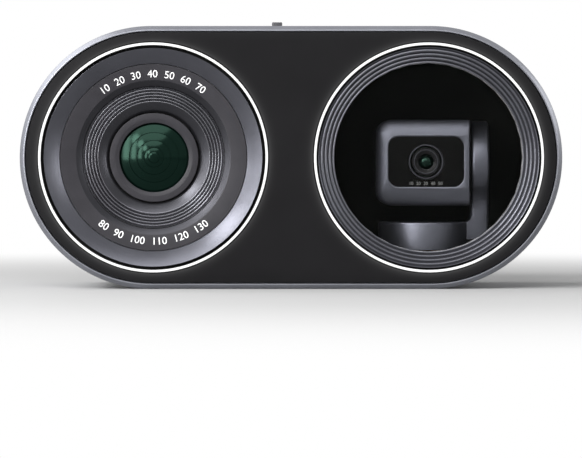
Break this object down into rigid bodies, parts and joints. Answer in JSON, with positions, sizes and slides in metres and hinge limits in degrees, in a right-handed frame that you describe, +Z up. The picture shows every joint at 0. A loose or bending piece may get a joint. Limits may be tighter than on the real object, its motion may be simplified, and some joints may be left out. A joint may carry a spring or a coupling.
{
  "type": "ptz camera head",
  "caption": "Oblong camera head with a fixed wide camera in a ribbed funnel and a small pan and tilt camera behind a round window, each inside a light ring.",
  "frame": {"origin": "under the middle of the housing, on its flat foot (bottom centre of the bounding box)", "axes": "+Z up, the front panel faces -Y, +X to the right as seen from the front, along the longest side"},
  "size_m": [0.163, 0.0622, 0.0803],
  "materials": {
    "shell_paint": "satin dark grey paint",
    "panel_black": "smooth black",
    "cover_plastic": "matt black",
    "ring_metal": "dark anodised",
    "ring_dark": "matt dark paint",
    "light_guide": "lit white light guide",
    "window_glass": "clear",
    "lens_glass": "coated, green sheen",
    "black_inside": "matt black",
    "gasket_rubber": "matt",
    "gimbal_paint": "satin blue grey",
    "cast_metal": "cast",
    "steel": "bright",
    "brass": "machined",
    "copper_winding": "enamelled copper",
    "circuit_board": "green solder mask",
    "chip_black": "matt"
  },
  "bodies": {
    "housing": {"outer_shell": "shell_paint", "front_panel": "panel_black", "chassis_plate": "cast_metal", "switch_body": "steel", "wide_light_ring": "light_guide", "wide_led_board": "black_inside", "tele_light_ring": "light_guide", "tele_led_board": "black_inside", "wide_front_cone": "ring_metal", "wide_marking_ring": "ring_dark", "wide_baffle": "ring_metal", "wide_lens_retainer": "ring_dark", "wide_barrel": "black_inside", "wide_front_lens": "lens_glass", "wide_lens_spacer": "black_inside", "wide_second_lens": "lens_glass", "wide_aperture_stop": "black_inside", "wide_rear_lens": "lens_glass", "wide_lens_mount": "cast_metal", "wide_sensor": "chip_black", "wide_sensor_board": "circuit_board", "wide_heat_sink": "cast_metal", "main_board": "circuit_board", "main_processor": "chip_black", "harness_socket": "chip_black", "rear_cover": "cover_plastic", "cover_screw_1": "steel", "cover_screw_2": "steel", "cover_screw_3": "steel", "cover_screw_4": "steel", "mount_insert_1": "brass", "mount_insert_2": "brass", "mount_insert_3": "brass", "mount_insert_4": "brass", "tele_rib_ring": "ring_metal", "tele_window": "window_glass", "tele_window_gasket": "gasket_rubber", "gimbal_chamber": "black_inside", "pan_base": "cast_metal", "pan_bearing_lower": "steel", "pan_bearing_upper": "steel", "pan_stator": "copper_winding"},
    "mode_slider": {"mode_slider": "ring_dark"},
    "pan_yoke": {"yoke": "gimbal_paint", "arm_cover": "gimbal_paint", "pan_rotor": "steel", "pan_shaft": "steel", "tilt_bearing": "steel", "tilt_stator": "copper_winding"},
    "tilt_head": {"tilt_rotor": "steel", "tilt_shaft": "steel", "head_front_shell": "gimbal_paint", "head_rear_shell": "gimbal_paint", "head_face_glass": "panel_black", "tele_lens_bezel": "ring_metal", "focus_actuator": "black_inside", "tele_sensor_board": "circuit_board"},
    "focus_group": {"tele_barrel": "ring_dark", "tele_front_lens": "lens_glass"}
  },
  "joints": [
    {"name": "pan", "type": "hinge", "parent": "housing", "child": "pan_yoke", "pos_m": [0.0414, -0.0008, 0.0198], "axis": [0, 0, 1], "range_deg": [-60, 60]},
    {"name": "tilt", "type": "hinge", "parent": "pan_yoke", "child": "tilt_head", "pos_m": [0.0414, -0.0008, 0.0379], "axis": [1, 0, 0], "range_deg": [-30, 90]},
    {"name": "focus", "type": "slide", "parent": "tilt_head", "child": "focus_group", "axis": [0, -1, 0], "range_m": [0, 0.0004], "stiffness_N_per_m": 50},
    {"name": "mode_switch", "type": "slide", "parent": "housing", "child": "mode_slider", "axis": [1, 0, 0], "range_m": [0, 0.002]}
  ]
}
